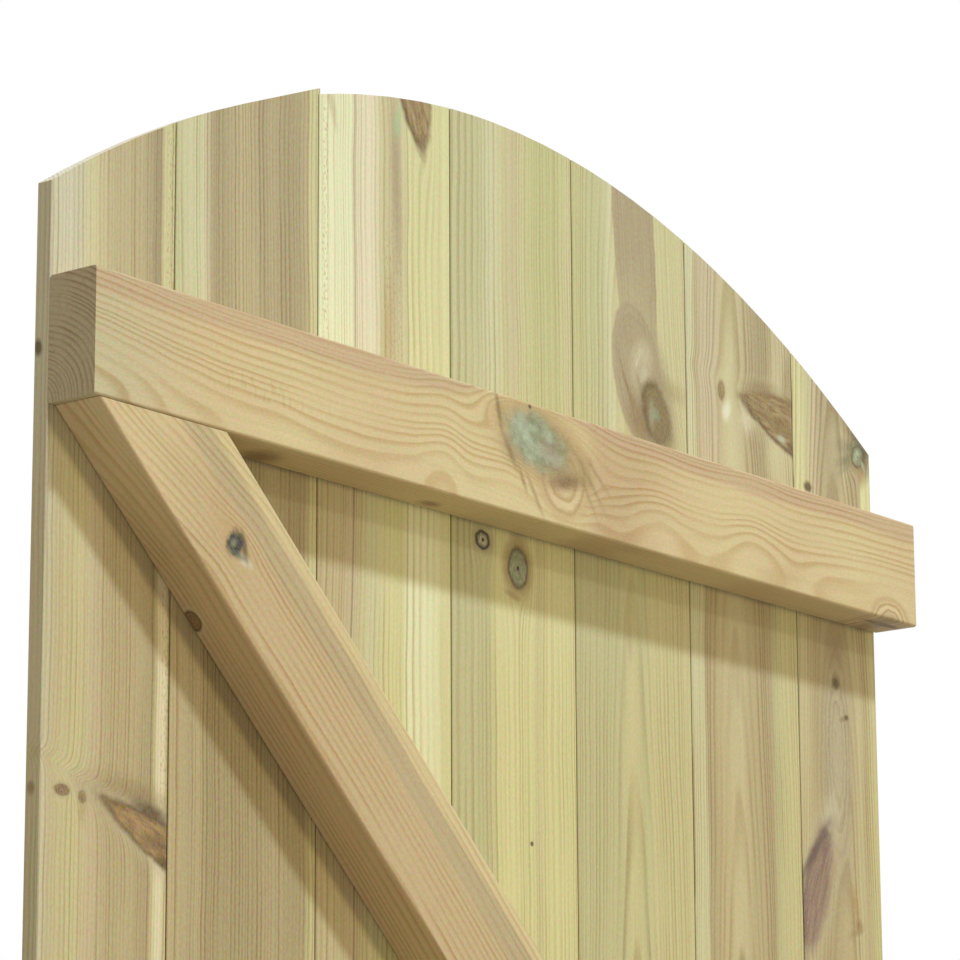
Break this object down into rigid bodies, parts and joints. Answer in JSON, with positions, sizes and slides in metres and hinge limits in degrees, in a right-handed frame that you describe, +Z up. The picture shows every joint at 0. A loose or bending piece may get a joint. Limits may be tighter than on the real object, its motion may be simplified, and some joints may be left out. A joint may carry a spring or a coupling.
{
  "type": "arched garden gate leaf",
  "caption": "Ledged and braced garden gate leaf: tongue-and-groove softwood boards with an arched top, nailed to level ledges and diagonal braces. No hinges or latch fitted.",
  "frame": {"origin": "middle of the leaf's foot: centred across the width and through the thickness, Z 0 at the foot", "axes": "+Z up the boards; +X across the leaf from the latch side to the hanging side; -Y out of the ledge side, +Y out of the plain board face"},
  "size_m": [0.9, 0.05, 1.948],
  "materials": {
    "board_softwood": "planed matchboard, pale green pressure treatment, no coating",
    "frame_softwood": "planed and eased framing, pale pressure treatment, no coating",
    "galvanised_wire": "dull galvanised wire nail"
  },
  "bodies": {
    "root": {"board_1": "board_softwood", "board_2": "board_softwood", "board_3": "board_softwood", "board_4": "board_softwood", "board_5": "board_softwood", "board_6": "board_softwood", "board_7": "board_softwood", "top_ledge": "frame_softwood", "middle_ledge": "frame_softwood", "bottom_ledge": "frame_softwood", "upper_brace": "frame_softwood", "lower_brace": "frame_softwood", "top_ledge_nails": "galvanised_wire", "middle_ledge_nails": "galvanised_wire", "bottom_ledge_nails": "galvanised_wire", "upper_brace_nails": "galvanised_wire", "lower_brace_nails": "galvanised_wire"}
  },
  "joints": []
}
